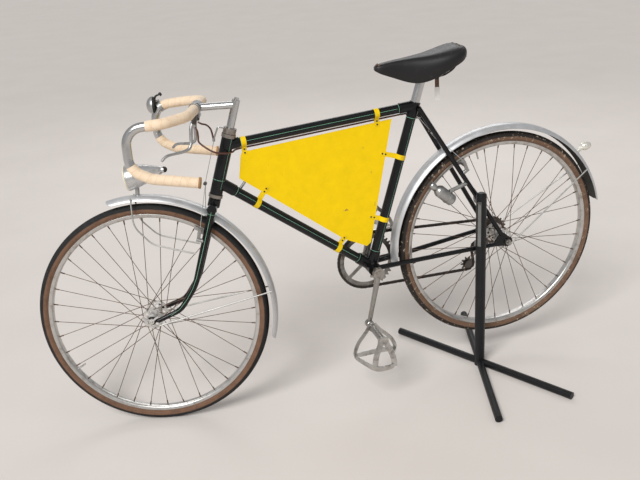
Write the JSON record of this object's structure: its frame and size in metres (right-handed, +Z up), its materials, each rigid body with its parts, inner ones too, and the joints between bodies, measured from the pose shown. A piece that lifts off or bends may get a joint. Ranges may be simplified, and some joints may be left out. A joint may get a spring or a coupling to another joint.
{
  "type": "drop-bar road bicycle on a display stand",
  "caption": "Old lightweight road bicycle with drop bars, mudguards, lamps and a bare yellow sign plate in the frame, its rear wheel held off the floor by a four-footed stand.",
  "frame": {"origin": "centre of the stand post's underside, on the floor", "axes": "+X forward, +Y to the bicycle's left, +Z up"},
  "size_m": [1.728, 0.683, 1.0006],
  "materials": {
    "black_paint": "gloss",
    "stand_black": "satin",
    "tyre_rubber": "matt",
    "alloy": "satin",
    "steel_plated": "worn",
    "dark_steel": "oiled",
    "saddle_leather": "worn gloss",
    "sign_yellow": "gloss",
    "cream_tape": "matt",
    "brown_cap": "matt",
    "brown_housing": "satin"
  },
  "bodies": {
    "frame": {"bottom_bracket": "black_paint", "brake_rear": "alloy", "cable_rear": "brown_housing", "chain": "dark_steel", "chainstays": "black_paint", "derailleur": "dark_steel", "down_tube": "black_paint", "dynamo": "alloy", "guard_stays_rear": "steel_plated", "head_tube": "black_paint", "headset_cups": "dark_steel", "mudguard_rear": "alloy", "plate_straps": "sign_yellow", "rear_axle": "steel_plated", "rear_dropouts": "black_paint", "saddle_clamp": "alloy", "saddle_rails": "steel_plated", "saddle_top": "saddle_leather", "seat_lug": "black_paint", "seat_post": "alloy", "seat_tube": "black_paint", "seatstays": "black_paint", "shift_lever": "alloy", "sign_plate": "sign_yellow", "stand_feet": "stand_black", "stand_hooks": "steel_plated", "stand_post": "stand_black", "tail_lamp": "alloy", "top_tube": "black_paint"},
    "steering": {"fork": "black_paint", "stem": "alloy", "headset_locknut": "dark_steel", "cable_front": "brown_housing", "handlebar": "alloy", "bar_tape": "cream_tape", "bar_end_caps": "brown_cap", "bell": "steel_plated", "brake_levers": "alloy", "brake_front": "alloy", "mudguard_front": "alloy", "guard_stays_front": "steel_plated", "lamp_stay": "steel_plated", "headlamp": "alloy", "lamp_bracket": "alloy", "front_axle": "steel_plated"},
    "front_wheel": {"tyre_front": "tyre_rubber", "rim_front": "alloy", "spokes_front": "steel_plated", "hub_front": "alloy"},
    "rear_wheel": {"tyre_rear": "tyre_rubber", "rim_rear": "alloy", "spokes_rear": "steel_plated", "hub_rear": "alloy"},
    "freewheel": {"freewheel": "dark_steel"},
    "crank": {"crank_axle": "steel_plated", "chainring": "steel_plated", "crank_left": "steel_plated", "crank_right": "steel_plated"},
    "pedal_left": {"pedal_left": "alloy"},
    "pedal_right": {"pedal_right": "alloy"}
  },
  "joints": [
    {"name": "steering", "type": "hinge", "parent": "frame", "child": "steering", "pos_m": [0.76042, -0.082, 0.66613], "axis": [-0.308, 0, 0.9514], "range_deg": [-23, 57]},
    {"name": "front_wheel_spin", "type": "hinge", "parent": "steering", "child": "front_wheel", "pos_m": [0.96855, -0.11048, 0.32569], "axis": [0.2782, 0.9563, 0.0901], "continuous": true},
    {"name": "rear_wheel_spin", "type": "hinge", "parent": "frame", "child": "rear_wheel", "pos_m": [-0.097, -0.082, 0.397], "axis": [0, 1, 0], "continuous": true},
    {"name": "crank_spin", "type": "hinge", "parent": "frame", "child": "crank", "pos_m": [0.3196, -0.082, 0.368], "axis": [0, 1, 0], "continuous": true},
    {"name": "freewheel_spin", "type": "hinge", "parent": "frame", "child": "freewheel", "pos_m": [-0.097, -0.082, 0.397], "axis": [0, 1, 0], "continuous": true},
    {"name": "pedal_left_spin", "type": "hinge", "parent": "crank", "child": "pedal_left", "pos_m": [0.35782, -0.006, 0.21469], "axis": [0, 1, 0], "continuous": true},
    {"name": "pedal_right_spin", "type": "hinge", "parent": "crank", "child": "pedal_right", "pos_m": [0.28138, -0.158, 0.52131], "axis": [0, 1, 0], "continuous": true}
  ],
  "couplings": [
    {"joint": "freewheel_spin", "follows": "crank_spin", "ratio": 2.4444}
  ]
}
